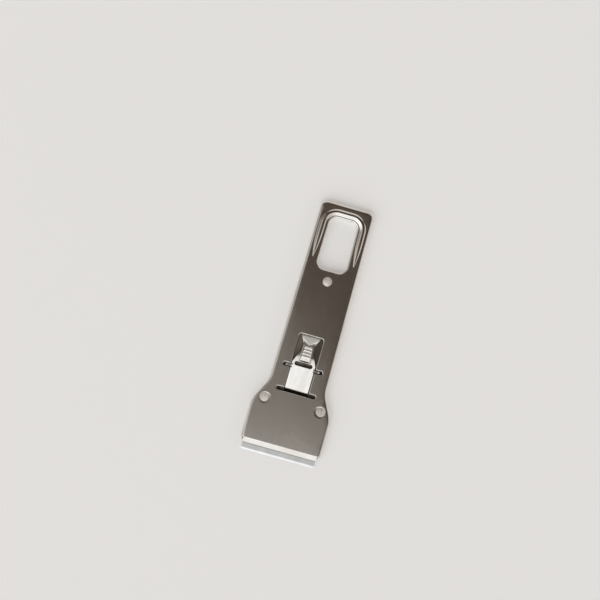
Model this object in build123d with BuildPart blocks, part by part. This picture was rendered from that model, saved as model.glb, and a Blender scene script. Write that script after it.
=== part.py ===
from build123d import *
import os
from math import acos, cos, radians, sin, tan

# Ceramic hob scraper, in millimetres. It lies on its back: +Y runs from the blade to the
# hanging hole, +Z points out of the front face, and the origin is under the middle.
# A "place" is a distance along the tool, measured from the front edge of the lip.

# The two shells
shell_length = 134.0
shoulder_place = 23.0
shoulder_radius = 15.0
neck_place = 35.4
neck_width = 31.1
neck_radius = 15.0
end_width = 28.6
end_corner_radius = 3.9
front_sheet = 0.8
rolled_edge_radius = 1.5
skirt_lift = 0.25
flange_place = 2.6
back_sheet = 0.8
back_setback = 1.0
nest_clearance = 0.15

# The lip over the blade, bent down from the front plate
lip_overhang = 0.25
lip_length = 3.5
lip_angle = 23.0
lip_bend_radius = 0.9
lip_edge_radius = 0.2
relief_width = 0.4
relief_depth = 0.6

# The guide window: a channel crossed by two slots
channel_width = 13.5
channel_top_place = 63.4
channel_corner_radius = 1.5
lower_slot_place = 32.55
slot_pitch = 13.15
slot_length = 21.4
slot_width = 2.15
slot_corner_share = 0.46
window_nook_radius = 0.45
window_edge_break = 0.25

# The hanging hole, its drawn collar and the bead that stiffens it
hole_end_margin = 7.5
hole_length = 27.7
hole_bottom_width = 16.0
hole_top_width = 15.0
hole_corner_radius = 3.9
hole_edge_radius = 0.6
collar_lift = 0.2
collar_clearance = 0.15
bead_offset = 3.2
bead_height = 0.6
bead_crown_radius = 2.0
bead_foot_radius = 1.0
bead_foot_bite = 0.04
bead_tip_setback = 5.4

# The three shell rivets, and the bosses of the back shell that space the shells
rivet_diameter = 3.0
rivet_head_diameter = 4.9
rivet_rim_height = 0.3
rivet_dome_height = 0.4
rivet_tail_diameter = 3.7
rivet_tail_height = 0.6
rivet_clearance = 0.05
head_rivet_place = 26.0
head_rivet_margin = 6.4
handle_rivet_gap = 5.8
boss_top_radius = 2.8
boss_draft = 0.4
boss_edge_break = 0.3

# The blade
blade_reach = 4.0
blade_width = 40.0
blade_depth = 20.0
blade_thickness = 0.3
blade_bevel = 1.0
blade_land = 0.04
blade_floor_gap = 0.1
blade_side_gap = 1.0
peg_clearance = 0.2

# The carrier that holds the blade
carrier_side_margin = 0.5
carrier_sheet = 0.8
carrier_front_place = 5.0
carrier_step_place = 17.0
carrier_rear_margin = 1.5
carrier_neck_width = 16.0
carrier_corner_radius = 1.5
peg_diameter = 3.0
peg_spread = 20.0
peg_place = 9.5
peg_lift = 0.06
peg_dimple_depth = 0.2

# The two small rivets that root the leaf on the carrier
root_place = 24.0
root_spread = 6.4
root_rivet_diameter = 1.8
root_head_diameter = 3.0
root_rim_height = 0.2
root_dome_height = 0.25
root_tail_height = 0.2
root_clearance = 0.1
root_fit = 0.02
root_headroom = 0.55

# The thumb slide: a spring leaf with a tongue, two ears, a ridged button and a tail
leaf_sheet = 0.5
leaf_lift = 0.1
leaf_front_margin = 2.2
leaf_bend_radius = 1.2
tongue_width = 12.5
crease_place = 33.2
tongue_top_place = 46.2
plate_running_gap = 0.07
oblong_place = 47.45
oblong_length = 9.7
oblong_width = 2.3
shoulder_front_place = 48.1
shoulder_rear_place = 54.6
leaf_neck_width = 5.8
tail_neck_place = 58.3
tail_flare_place = 62.8
tail_width = 10.0
tail_end_place = 67.0
leaf_corner_radius = 0.7
button_place = 48.8
button_slope_length = 2.4
button_rise = 3.5
button_front_width = 5.8
button_rear_width = 4.4
button_draft = 0.4
button_front_radius = 0.6
button_rear_radius = 0.3
button_side_radius = 0.8
ridge_count = 4
ridge_pitch = 1.65
ridge_width = 1.25
ridge_height = 0.42
ridge_margin = 0.15
ear_reach = 9.15
ear_length = 1.4
ear_drop = 1.1
ear_bend_radius = 0.2

# One overrun for every cut that goes right through
overrun = 1.0

# Widths, lengths and places worked out from the sizes above
head_width = blade_width + 2 * (blade_side_gap + front_sheet)
lip_width = blade_width + 2 * lip_overhang
carrier_width = blade_width + 2 * carrier_side_margin
head_rivet_spread = head_width - 2 * head_rivet_margin
hole_place = shell_length - hole_end_margin - hole_length
handle_rivet_place = hole_place - handle_rivet_gap
lip_y = (shell_length + blade_reach) / 2 - shell_length
shell_end_y = lip_y + shell_length

# Heights, stacked up from the back shell's outer face
blade_floor = back_sheet + blade_floor_gap
carrier_floor = blade_floor + blade_thickness
carrier_top = carrier_floor + carrier_sheet
leaf_floor = carrier_top + leaf_lift
leaf_top = leaf_floor + leaf_sheet
root_seat = leaf_top + root_clearance
root_top = root_seat + root_rim_height + root_dome_height
front_underside = root_top + root_headroom
body_height = front_underside + front_sheet
tongue_top = front_underside - plate_running_gap
upper_slot_place = lower_slot_place + slot_pitch
hole_top_place = hole_place + hole_length
ridge_floor = tongue_top + button_rise - ridge_height
button_top_place = button_place + button_slope_length
button_rear_place = button_top_place + ridge_count * ridge_pitch + 2 * ridge_margin


def along(place):
    """Y of a place."""
    return lip_y + place


handle_rivet_point = (0, along(handle_rivet_place))
left_rivet_point = (-head_rivet_spread / 2, along(head_rivet_place))
right_rivet_point = (head_rivet_spread / 2, along(head_rivet_place))
shell_rivet_points = [handle_rivet_point, left_rivet_point, right_rivet_point]
peg_points = [(-peg_spread / 2, along(peg_place)), (peg_spread / 2, along(peg_place))]
root_points = [(-root_spread / 2, along(root_place)), (root_spread / 2, along(root_place))]


def mirrored_outline(right_side, radii, grow=0):
    """Closed outline from its right half, front to rear, a radius per corner, then let out by grow."""
    left_side = [(-x, y) for x, y in reversed(right_side)]
    with BuildSketch() as outline:
        with BuildLine():
            FilletPolyline(*right_side, *left_side, radius=[*radii, *reversed(radii)], close=True)
        make_face()
        if grow:
            offset(amount=grow)
    return outline.sketch


def shell_outline(front_place, inset):
    """The scraper's outline from a front place to the handle end, drawn in by an inset."""
    right_side = [
        (head_width / 2, along(front_place) - inset),
        (head_width / 2, along(shoulder_place)),
        (neck_width / 2, along(neck_place)),
        (end_width / 2, shell_end_y),
    ]
    return mirrored_outline(right_side, [0, shoulder_radius, neck_radius, end_corner_radius], -inset)


def window_outline():
    """The guide window: the channel and its two cross slots."""
    channel = channel_width / 2
    slot = slot_length / 2
    reach = slot_width / 2
    lower = along(lower_slot_place)
    upper = along(upper_slot_place)
    tip = slot_width * slot_corner_share
    right_side = [
        (slot, lower - reach),
        (slot, lower + reach),
        (channel, lower + reach),
        (channel, upper - reach),
        (slot, upper - reach),
        (slot, upper + reach),
        (channel, upper + reach),
        (channel, along(channel_top_place)),
    ]
    nook = window_nook_radius
    return mirrored_outline(right_side, [tip, tip, nook, nook, tip, tip, nook, channel_corner_radius])


def hole_outline(grow):
    """The hanging hole, a little narrower at the top, let out by grow."""
    right_side = [
        (hole_bottom_width / 2, along(hole_place)),
        (hole_top_width / 2, along(hole_top_place)),
    ]
    return mirrored_outline(right_side, [hole_corner_radius, hole_corner_radius], grow)


def lip_profile():
    """Side view of the lip: the plate's sheet bent down at the lip's angle."""
    bend = radians(lip_angle)
    rear = along(lip_length + relief_depth) + front_sheet
    drop = lip_length * tan(bend)
    corners = [
        (rear, body_height),
        (along(lip_length), body_height),
        (along(0), body_height - drop),
        (along(0) + front_sheet * sin(bend), body_height - drop - front_sheet * cos(bend)),
        (along(lip_length) + front_sheet * tan(bend / 2), front_underside),
        (rear, front_underside),
    ]
    radii = [0, lip_bend_radius + front_sheet, lip_edge_radius, lip_edge_radius, lip_bend_radius, 0]
    with BuildSketch(Plane.YZ) as profile:
        with BuildLine():
            FilletPolyline(*corners, radius=radii, close=True)
        make_face()
    return profile.sketch


# The bead runs up one side of the hanging hole, over its top and down the other side. Its
# skin is the front sheet at an even thickness: a crown arc that runs into a foot arc on each
# side, both turning by one angle, with the same two centres on the inside and the outside. The
# foot arcs start a bite below the plate's face, which they cross at a small angle.
bead_turn = acos(1 - (bead_height + bead_foot_bite) / (bead_crown_radius + bead_foot_radius))
bead_half_width = (bead_crown_radius + bead_foot_radius) * sin(bead_turn)
bead_tip = (hole_bottom_width / 2 + bead_offset, along(hole_place + bead_tip_setback))
bead_corner = (hole_top_width / 2 + bead_offset, along(hole_top_place) + bead_offset)


def bead_side(depth):
    """Right side of the bead's section at a depth below its skin, as five points on two arcs.

    They are the foot's end, the middle of the foot arc, the join, the middle of the crown arc
    and the top.
    """
    foot_radius = bead_foot_radius + depth
    crown_radius = bead_crown_radius - depth
    foot_centre = body_height - bead_foot_bite + bead_foot_radius
    crown_centre = body_height + bead_height - bead_crown_radius
    half_turn = bead_turn / 2
    return [
        (bead_half_width, foot_centre - foot_radius),
        (bead_half_width - foot_radius * sin(half_turn), foot_centre - foot_radius * cos(half_turn)),
        (crown_radius * sin(bead_turn), crown_centre + crown_radius * cos(bead_turn)),
        (crown_radius * sin(half_turn), crown_centre + crown_radius * cos(half_turn)),
        (0, crown_centre + crown_radius),
    ]


def bead_section(depth, place, half=False):
    """Section of the bead at a depth below its skin, or its right half, standing at a tip of its path."""
    x = place[0]
    floor = body_height - depth - front_sheet / 4
    right = [(x + across, level) for across, level in bead_side(depth)]
    left = [(x - across, level) for across, level in reversed(bead_side(depth))]
    with BuildSketch(Plane.XZ.offset(-place[1])) as section:
        with BuildLine():
            ThreePointArc(*right[0:3])
            ThreePointArc(*right[2:5])
            if half:
                Polyline(right[4], (x, floor), (right[0][0], floor), right[0])
            else:
                ThreePointArc(*left[0:3])
                ThreePointArc(*left[2:5])
                Polyline(left[4], (left[4][0], floor), (right[0][0], floor), right[0])
        make_face()
    return section.sketch


with BuildPart() as bead_outside:
    with BuildLine() as bead_path:
        FilletPolyline(
            (-bead_tip[0], bead_tip[1]),
            (-bead_corner[0], bead_corner[1]),
            bead_corner,
            bead_tip,
            radius=hole_corner_radius + bead_offset,
        )
    sweep(sections=bead_section(0, (-bead_tip[0], bead_tip[1])), path=bead_path.line)
    for tip in [bead_tip, (-bead_tip[0], bead_tip[1])]:
        revolve(bead_section(0, tip, half=True), axis=Axis((*tip, 0), (0, 0, 1)))

with BuildPart() as bead_inside:
    sweep(sections=bead_section(front_sheet, (-bead_tip[0], bead_tip[1])), path=bead_path.line)
    for tip in [bead_tip, (-bead_tip[0], bead_tip[1])]:
        revolve(bead_section(front_sheet, tip, half=True), axis=Axis((*tip, 0), (0, 0, 1)))

# Front shell: a tray of one pressed sheet with rolled edges, open at the blade's end
with BuildPart() as front_shell:
    with BuildSketch(Plane.XY.offset(skirt_lift)):
        add(shell_outline(flange_place, 0))
    extrude(amount=body_height - skirt_lift)
    rim_edges = front_shell.faces().sort_by(Axis.Z)[-1].edges().sort_by(Axis.Y)[1:]
    fillet(rim_edges, radius=rolled_edge_radius)
    skirt_face = front_shell.faces().sort_by(Axis.Z)[0]
    mouth_face = front_shell.faces().sort_by(Axis.Y)[0]
    offset(amount=-front_sheet, openings=[skirt_face, mouth_face])
    with BuildSketch(Plane.XY.offset(body_height + overrun)):
        with Locations((0, along(flange_place) - overrun)):
            Rectangle(
                lip_width + 2 * relief_width,
                lip_length + relief_depth - flange_place + overrun,
                align=(Align.CENTER, Align.MIN),
            )
    extrude(amount=-body_height - 2 * overrun, mode=Mode.SUBTRACT)
    extrude(lip_profile(), amount=lip_width / 2, both=True)
    with BuildSketch(Plane.XY.offset(body_height + overrun)):
        add(window_outline())
    extrude(amount=-body_height - 2 * overrun, mode=Mode.SUBTRACT)
    window_edges = front_shell.edges(Select.LAST).filter_by_position(Axis.Z, body_height, body_height)
    chamfer(window_edges, length=window_edge_break)
    with BuildSketch(Plane.XY.offset(collar_lift)):
        add(hole_outline(front_sheet))
    extrude(amount=front_underside - collar_lift)
    add(bead_outside.part)
    add(bead_inside.part, mode=Mode.SUBTRACT)
    with BuildSketch(Plane.XY.offset(body_height + overrun)):
        add(hole_outline(0))
    extrude(amount=-body_height - 2 * overrun, mode=Mode.SUBTRACT)
    hole_edges = front_shell.edges(Select.LAST).filter_by_position(Axis.Z, body_height, body_height)
    fillet(hole_edges, radius=hole_edge_radius)
    with Locations(*shell_rivet_points):
        Hole(radius=rivet_diameter / 2 + rivet_clearance)

# Boss: a dimple drawn up from the back sheet to the underside of the front plate
boss_base_radius = boss_top_radius + boss_draft
boss_hole_radius = rivet_diameter / 2 + rivet_clearance
with BuildPart() as boss:
    with BuildSketch(Plane.XZ):
        with BuildLine():
            Polyline(
                (boss_hole_radius, front_underside),
                (boss_top_radius - boss_edge_break, front_underside),
                (boss_top_radius, front_underside - boss_edge_break),
                (boss_base_radius, back_sheet),
                (boss_base_radius, 0),
                (boss_base_radius - back_sheet, 0),
                (boss_top_radius - back_sheet, front_underside - back_sheet),
                (boss_hole_radius, front_underside - back_sheet),
                close=True,
            )
        make_face()
    revolve(axis=Axis.Z)

# Back shell: a flat pressed plate that nests in the front shell's rim
with BuildPart() as back_shell:
    with BuildSketch():
        add(shell_outline(back_setback, front_sheet + nest_clearance))
        add(hole_outline(front_sheet + collar_clearance), mode=Mode.SUBTRACT)
        with Locations(*shell_rivet_points):
            Circle(boss_base_radius, mode=Mode.SUBTRACT)
    extrude(amount=back_sheet)
    with Locations(*shell_rivet_points):
        add(boss.part)


def dome_middle(radius, rim_level, top_level):
    """Middle point of the arc from a head's rim to the top of its dome."""
    rise = top_level - rim_level
    curve = (radius**2 + rise**2) / (2 * rise)
    middle = radius / 2
    return (middle, top_level - curve + (curve**2 - middle**2) ** 0.5)


def rivet_profile(shank, head, tail, floor, tail_top, seat, rim, top):
    """Half section of a rivet: radii of shank, head and tail, then the levels from tail to dome."""
    with BuildSketch(Plane.XZ) as profile:
        with BuildLine():
            Polyline(
                (0, top),
                (0, floor),
                (tail, floor),
                (tail, tail_top),
                (shank, tail_top),
                (shank, seat),
                (head, seat),
                (head, rim),
            )
            ThreePointArc((head, rim), dome_middle(head, rim, top), (0, top))
        make_face()
    return profile.sketch


# Shell rivet: a low domed head on the front, its shank in the boss, its tail inside the dimple
boss_ceiling = front_underside - back_sheet
with BuildPart() as shell_rivet:
    rivet_section = rivet_profile(
        rivet_diameter / 2,
        rivet_head_diameter / 2,
        rivet_tail_diameter / 2,
        boss_ceiling - rivet_tail_height,
        boss_ceiling,
        body_height,
        body_height + rivet_rim_height,
        body_height + rivet_rim_height + rivet_dome_height,
    )
    revolve(rivet_section, axis=Axis.Z)

with BuildPart() as handle_rivet:
    with Locations(handle_rivet_point):
        add(shell_rivet.part)

with BuildPart() as left_head_rivet:
    with Locations(left_rivet_point):
        add(shell_rivet.part)

with BuildPart() as right_head_rivet:
    with Locations(right_rivet_point):
        add(shell_rivet.part)

# Blade: a flat strip ground on its upper side down to a keen edge, with two holes for the pegs
with BuildPart() as blade:
    with BuildSketch(Plane.YZ):
        with BuildLine():
            Polyline(
                (along(-blade_reach), blade_floor),
                (along(-blade_reach), blade_floor + blade_land),
                (along(-blade_reach) + blade_bevel, carrier_floor),
                (along(-blade_reach) + blade_depth, carrier_floor),
                (along(-blade_reach) + blade_depth, blade_floor),
                close=True,
            )
        make_face()
    extrude(amount=blade_width / 2, both=True)
    with Locations(*peg_points):
        Hole(radius=peg_diameter / 2 + peg_clearance)

# Blade carrier: a T-shaped plate with two pegs pushed down out of it into the blade's holes
with BuildPart() as blade_carrier:
    with BuildSketch(Plane.XY.offset(carrier_floor)):
        add(
            mirrored_outline(
                [
                    (carrier_width / 2, along(carrier_front_place)),
                    (carrier_width / 2, along(carrier_step_place)),
                    (carrier_neck_width / 2, along(carrier_step_place)),
                    (carrier_neck_width / 2, along(root_place + carrier_rear_margin)),
                ],
                [carrier_corner_radius] * 4,
            )
        )
    extrude(amount=carrier_sheet)
    with BuildSketch(Plane.XY.offset(blade_floor + peg_lift)):
        with Locations(*peg_points):
            Circle(peg_diameter / 2)
    extrude(amount=carrier_floor - blade_floor - peg_lift)
    with BuildSketch(Plane.XY.offset(carrier_top)):
        with Locations(*peg_points):
            Circle(peg_diameter / 2)
    extrude(amount=-peg_dimple_depth, mode=Mode.SUBTRACT)
    with Locations(*root_points):
        Hole(radius=root_rivet_diameter / 2 + root_fit)

# Root rivets: they hold the leaf's front end down on the carrier, with room for it to tip
with BuildPart() as root_rivet:
    root_section = rivet_profile(
        root_rivet_diameter / 2,
        root_head_diameter / 2,
        root_head_diameter / 2,
        carrier_floor - root_tail_height,
        carrier_floor,
        root_seat,
        root_seat + root_rim_height,
        root_top,
    )
    revolve(root_section, axis=Axis.Z)

with BuildPart() as left_slide_rivet:
    with Locations(root_points[0]):
        add(root_rivet.part)

with BuildPart() as right_slide_rivet:
    with Locations(root_points[1]):
        add(root_rivet.part)


def button_side_view(foot, ridged):
    """Side view of the thumb button from its foot up: a slope, a top with or without ridges, a rear."""
    slope = button_slope_length / (ridge_floor - tongue_top)
    front = along(button_top_place)
    rear = along(button_rear_place)
    with BuildSketch(Plane.YZ) as view:
        with BuildLine():
            FilletPolyline(
                (rear, foot),
                (rear, ridge_floor),
                (front, ridge_floor),
                (front - slope * (ridge_floor - foot), foot),
                radius=[0, button_rear_radius, button_front_radius, 0],
                close=True,
            )
        make_face()
        if ridged:
            for ridge in range(ridge_count):
                start = front + ridge_margin + ridge * ridge_pitch + (ridge_pitch - ridge_width) / 2
                with BuildLine():
                    ThreePointArc(
                        (start, ridge_floor),
                        (start + ridge_width / 2, ridge_floor + ridge_height),
                        (start + ridge_width, ridge_floor),
                    )
                    Line((start + ridge_width, ridge_floor), (start, ridge_floor))
                make_face()
    return view.sketch


def button_section(place, width, shrink, top):
    """Cross-section of the button at a place: drafted sides and round shoulders, drawn in by shrink."""
    foot_reach = width / 2 + button_draft - shrink
    top_reach = width / 2 - shrink
    with BuildSketch(Plane.XZ.offset(-along(place))) as section:
        with BuildLine():
            FilletPolyline(
                (-foot_reach, button_foot),
                (foot_reach, button_foot),
                (top_reach, top),
                (-top_reach, top),
                radius=[0, 0, button_side_radius - shrink, button_side_radius - shrink],
                close=True,
            )
        make_face()
    return section.sketch


leaf_underside = tongue_top - leaf_sheet
button_foot = leaf_underside - leaf_sheet - overrun

# Thumb button: the side view, cut to a section that tapers to the rear and to the top
with BuildPart() as button_envelope:
    button_crest = ridge_floor + ridge_height
    loft(
        [
            button_section(button_place - overrun, button_front_width, 0, button_crest),
            button_section(button_rear_place + overrun, button_rear_width, 0, button_crest),
        ],
        ruled=True,
    )

with BuildPart() as button_outside:
    extrude(button_side_view(leaf_underside, True), amount=button_front_width, both=True)
    add(button_envelope.part, mode=Mode.INTERSECT)

# The hollow under the button, one sheet inside its skin
with BuildPart() as hollow_envelope:
    hollow_crest = ridge_floor - leaf_sheet
    loft(
        [
            button_section(button_place - overrun, button_front_width, leaf_sheet, hollow_crest),
            button_section(button_rear_place + overrun, button_rear_width, leaf_sheet, hollow_crest),
        ],
        ruled=True,
    )

with BuildPart() as button_inside:
    hollow_view = offset(button_side_view(button_foot, False), amount=-leaf_sheet)
    extrude(hollow_view, amount=button_front_width, both=True)
    add(hollow_envelope.part, mode=Mode.INTERSECT)

# Ear: the sheet steps down beside the tongue, runs out under the plate and turns up at its tip
ear_top = tongue_top - ear_drop
with BuildPart() as ear:
    with BuildSketch(Plane.XZ.offset(-along(upper_slot_place))):
        with BuildLine():
            FilletPolyline(
                (tongue_width / 2 - leaf_sheet, tongue_top - leaf_sheet / 2),
                (tongue_width / 2, tongue_top - leaf_sheet / 2),
                (tongue_width / 2, ear_top),
                (ear_reach - leaf_sheet, ear_top),
                (ear_reach - leaf_sheet, tongue_top),
                (ear_reach, tongue_top),
                (ear_reach, ear_top - leaf_sheet),
                (tongue_width / 2 - leaf_sheet, ear_top - leaf_sheet),
                radius=[
                    0,
                    0,
                    ear_bend_radius,
                    ear_bend_radius,
                    ear_bend_radius,
                    ear_bend_radius,
                    ear_bend_radius + leaf_sheet,
                    ear_bend_radius + leaf_sheet,
                ],
                close=True,
            )
        make_face()
    extrude(amount=ear_length / 2, both=True)

# Thumb slide: one spring leaf, from its root on the carrier to the tail behind the button
with BuildPart() as thumb_slide:
    with BuildSketch(Plane.YZ):
        with BuildLine():
            FilletPolyline(
                (along(root_place - leaf_front_margin), leaf_top),
                (along(crease_place), leaf_top),
                (along(tongue_top_place), tongue_top),
                (along(tail_end_place), tongue_top),
                (along(tail_end_place), tongue_top - leaf_sheet),
                (along(tongue_top_place), tongue_top - leaf_sheet),
                (along(crease_place), leaf_floor),
                (along(root_place - leaf_front_margin), leaf_floor),
                radius=[0, leaf_bend_radius, leaf_bend_radius, 0, 0, leaf_bend_radius, leaf_bend_radius, 0],
                close=True,
            )
        make_face()
    extrude(amount=tongue_width, both=True)
    leaf_plan = mirrored_outline(
        [
            (tongue_width / 2, along(root_place - leaf_front_margin)),
            (tongue_width / 2, along(shoulder_front_place)),
            (leaf_neck_width / 2, along(shoulder_rear_place)),
            (leaf_neck_width / 2, along(tail_neck_place)),
            (tail_width / 2, along(tail_flare_place)),
            (tail_width / 2, along(tail_end_place)),
        ],
        [leaf_corner_radius] * 6,
    )
    extrude(leaf_plan, amount=body_height, mode=Mode.INTERSECT)
    with BuildSketch(Plane.XY.offset(body_height)):
        with Locations((0, along(oblong_place))):
            SlotOverall(oblong_length, oblong_width)
    extrude(amount=-body_height, mode=Mode.SUBTRACT)
    add(button_outside.part)
    add(button_inside.part, mode=Mode.SUBTRACT)
    add(ear.part)
    add(mirror(ear.part, about=Plane.YZ, mode=Mode.PRIVATE))
    with Locations(*root_points):
        Hole(radius=root_rivet_diameter / 2 + root_clearance)

pieces = {
    "front_shell": front_shell,
    "back_shell": back_shell,
    "handle_rivet": handle_rivet,
    "left_head_rivet": left_head_rivet,
    "right_head_rivet": right_head_rivet,
    "blade_carrier": blade_carrier,
    "blade": blade,
    "left_slide_rivet": left_slide_rivet,
    "right_slide_rivet": right_slide_rivet,
    "thumb_slide": thumb_slide,
}
os.makedirs("parts", exist_ok=True)
for label, piece in pieces.items():
    piece.part.label = label
    export_step(piece.part, f"parts/{label}.step")
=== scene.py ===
from math import asin, cos, pi, radians, sin, tan

import bmesh
import bpy
import numpy as np
from mathutils import Matrix, Vector
from mathutils.geometry import delaunay_2d_cdt


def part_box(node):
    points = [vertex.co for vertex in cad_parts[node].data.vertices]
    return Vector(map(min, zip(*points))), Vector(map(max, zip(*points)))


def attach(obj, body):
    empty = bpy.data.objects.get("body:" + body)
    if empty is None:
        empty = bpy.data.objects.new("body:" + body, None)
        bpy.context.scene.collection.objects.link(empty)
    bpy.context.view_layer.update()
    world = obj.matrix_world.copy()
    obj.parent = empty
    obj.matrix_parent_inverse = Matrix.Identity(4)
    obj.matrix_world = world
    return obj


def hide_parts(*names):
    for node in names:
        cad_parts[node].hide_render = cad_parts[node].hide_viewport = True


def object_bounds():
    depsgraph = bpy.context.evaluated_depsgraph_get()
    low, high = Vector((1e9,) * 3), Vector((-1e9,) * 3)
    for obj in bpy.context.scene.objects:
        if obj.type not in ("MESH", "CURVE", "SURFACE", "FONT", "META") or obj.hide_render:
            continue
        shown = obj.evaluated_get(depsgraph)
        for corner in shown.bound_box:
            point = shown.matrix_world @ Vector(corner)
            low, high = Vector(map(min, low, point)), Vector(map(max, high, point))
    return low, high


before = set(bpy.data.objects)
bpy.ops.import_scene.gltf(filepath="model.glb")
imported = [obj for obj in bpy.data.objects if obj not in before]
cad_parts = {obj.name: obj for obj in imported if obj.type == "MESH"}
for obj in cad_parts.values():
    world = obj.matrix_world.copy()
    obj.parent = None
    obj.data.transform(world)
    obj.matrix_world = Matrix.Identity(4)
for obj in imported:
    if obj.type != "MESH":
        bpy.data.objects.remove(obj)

bl_info = {
    "name": "Ceramic hob scraper",
    "version": (1, 0, 0),
    "blender": (4, 5, 0),
    "location": "3D View > Sidebar > Scraper",
    "description": "The pressed and plated pieces of a hob scraper, their finishes and a studio",
    "category": "Add Mesh",
}

# The tool lies on its back: +Y runs from the blade to the hanging hole and +Z points out of the
# front face. A "place" is a distance along the tool, measured from the front edge of the lip.
MM = 0.001
cad_low, cad_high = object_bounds()
shell_low, shell_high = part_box("front_shell")

# Points closer than touching are one point, welding takes in a little more, and tiny keeps a
# divisor off nought.
touching = 0.0001 * MM
weld_gap = 0.002 * MM
tiny = 1e-12


def length(name, millimetres, description):
    """A length property with a default in millimetres."""
    return bpy.props.FloatProperty(
        name=name, description=description, default=millimetres * MM, unit="LENGTH", precision=5
    )


def angle(name, degrees, description):
    """An angle property with a default in degrees."""
    return bpy.props.FloatProperty(
        name=name, description=description, default=radians(degrees), unit="ROTATION"
    )


def number(name, value, description):
    """A plain number."""
    return bpy.props.FloatProperty(name=name, description=description, default=value, min=0)


def linear(hex_colour):
    """An sRGB hex colour as linear red, green and blue."""
    values = np.array([int(hex_colour[i : i + 2], 16) for i in (1, 3, 5)]) / 255
    return tuple(np.where(values <= 0.04045, values / 12.92, ((values + 0.055) / 1.055) ** 2.4))


def colour(name, hex_colour, description):
    """A colour property with an sRGB hex default."""
    return bpy.props.FloatVectorProperty(
        name=name, description=description, default=linear(hex_colour), min=0, max=1, subtype="COLOR"
    )


class ShellSizes(bpy.types.PropertyGroup):
    """Sizes of the two pressed shells."""

    shell_length: length("Length", 134.0, "From the lip to the handle's end")
    head_width: length("Head width", (shell_high.x - shell_low.x) / MM, "Across the head")
    neck_width: length("Neck width", 31.1, "Across the neck")
    end_width: length("End width", 28.6, "Across the handle's end")
    shoulder_place: length("Shoulder place", 23.0, "Where the head starts to narrow")
    neck_place: length("Neck place", 35.4, "Where the head has narrowed to the handle")
    shoulder_radius: length("Shoulder radius", 15.0, "Round of the shoulder and of the neck")
    end_corner: length("End corner", 3.9, "Corner radius of the handle's end")
    face_level: length("Face level", 4.5, "Height of the front face")
    sheet: length("Sheet", 0.8, "Thickness of both shells")
    roll: length("Rolled edge", 1.5, "Radius of the rolled edge")
    skirt_level: length("Skirt level", 0.25, "Lowest level of the rolled skirt")
    flange_place: length("Flange place", 2.6, "Where the side flanges start")
    lip_width: length("Lip width", 40.5, "Across the lip")
    lip_length: length("Lip length", 2.6, "The bent stretch in front of the head")
    lip_bend: angle("Lip bend", 29.8, "How far the lip is bent down")
    lip_bend_radius: length("Lip bend radius", 1.3, "Outer radius of the lip's bend")
    relief_width: length("Relief width", 0.4, "Slit beside the lip")
    relief_depth: length("Relief depth", 0.6, "How far the slit runs past the bend")
    back_setback: length("Back setback", 1.0, "Place of the back shell's front edge")
    nest_gap: length("Nest gap", 0.15, "Between the back shell and the front shell's skirt")
    edge_round: length("Edge round", 0.18, "Tumbled round of the cut edges")
    seat_radius: length("Seat radius", 3.2, "Radius of the flattened seat round a head rivet")
    seat_shift: length("Seat shift", 0.6, "From the rivet to the seat's middle, away from the rim")
    seat_depth: length("Seat depth", 0.035, "Depth of the flattened seat")


class WindowSizes(bpy.types.PropertyGroup):
    """Sizes of the guide window: a channel crossed by two slots."""

    channel_width: length("Channel width", 13.5, "Across the channel")
    channel_top: length("Channel top", 63.4, "Place of the channel's upper end")
    channel_corner: length("Channel corner", 1.5, "Corner radius of the channel's upper end")
    lower_slot: length("Lower slot", 32.55, "Place of the lower cross slot")
    upper_slot: length("Upper slot", 45.7, "Place of the upper cross slot")
    slot_length: length("Slot length", 21.4, "Across both arms of a cross slot")
    slot_width: length("Slot width", 2.15, "Along the tool")
    slot_corner: length("Slot corner", 1.0, "Corner radius of a slot's tips")
    nook: length("Nook", 0.5, "Radius where a slot meets the channel")
    die_roll: length("Die roll", 0.34, "Round that the punch leaves along the window's edge")


class HoleSizes(bpy.types.PropertyGroup):
    """Sizes of the hanging hole and of the bead round it."""

    hole_place: length("Hole place", 98.8, "Lower edge of the hole")
    hole_length: length("Hole length", 27.7, "Along the tool")
    bottom_width: length("Bottom width", 16.0, "Across the hole's lower end")
    top_width: length("Top width", 15.0, "Across the hole's upper end")
    corner: length("Corner", 3.9, "Corner radius")
    drawn_edge: length("Drawn edge", 0.85, "Round from the face into the collar")
    collar_level: length("Collar level", 0.2, "Lowest level of the drawn collar")
    bead_offset: length("Bead offset", 3.08, "From the hole's edge to the bead's crown")
    bead_height: length("Bead height", 0.6, "How far the bead stands proud")
    bead_crown: length("Bead crown", 2.3, "Radius over the bead's crown")
    bead_foot: length("Bead foot", 1.2, "Radius where the bead meets the face")
    bead_run_out: length("Bead run-out", 14.0, "How far from its tips the bead starts to fade")
    bead_tip_shrink: number("Bead tip shrink", 0.85, "Share of its size that the bead loses towards a tip")
    bead_setback: length("Bead setback", 5.4, "From the hole's lower edge to the bead's tips")


class RivetSizes(bpy.types.PropertyGroup):
    """Sizes of the three shell rivets and of the dimples that they close."""

    shank: length("Shank", 3.0, "Diameter of the shank")
    head: length("Head", 4.9, "Diameter of the domed head")
    rim: length("Rim", 0.3, "Height of the head's rim")
    dome: length("Dome", 0.4, "Height of the dome over the rim")
    tail: length("Tail", 3.7, "Diameter of the pressed tail")
    tail_height: length("Tail height", 0.6, "Height of the pressed tail")
    hole_gap: length("Hole gap", 0.05, "Between the shank and its hole")
    head_place: length("Head place", 26.0, "Place of the two head rivets")
    head_spread: length("Head spread", 30.8, "Between the two head rivets")
    handle_place: length("Handle place", 93.0, "Place of the handle rivet")
    dimple_top: length("Dimple top", 2.0, "Inner radius of the dimple at its ceiling")
    dimple_base: length("Dimple base", 2.4, "Inner radius of the dimple at the back face")
    dimple_round: length("Dimple round", 0.55, "Bend where the dimple leaves the back face")


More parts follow.
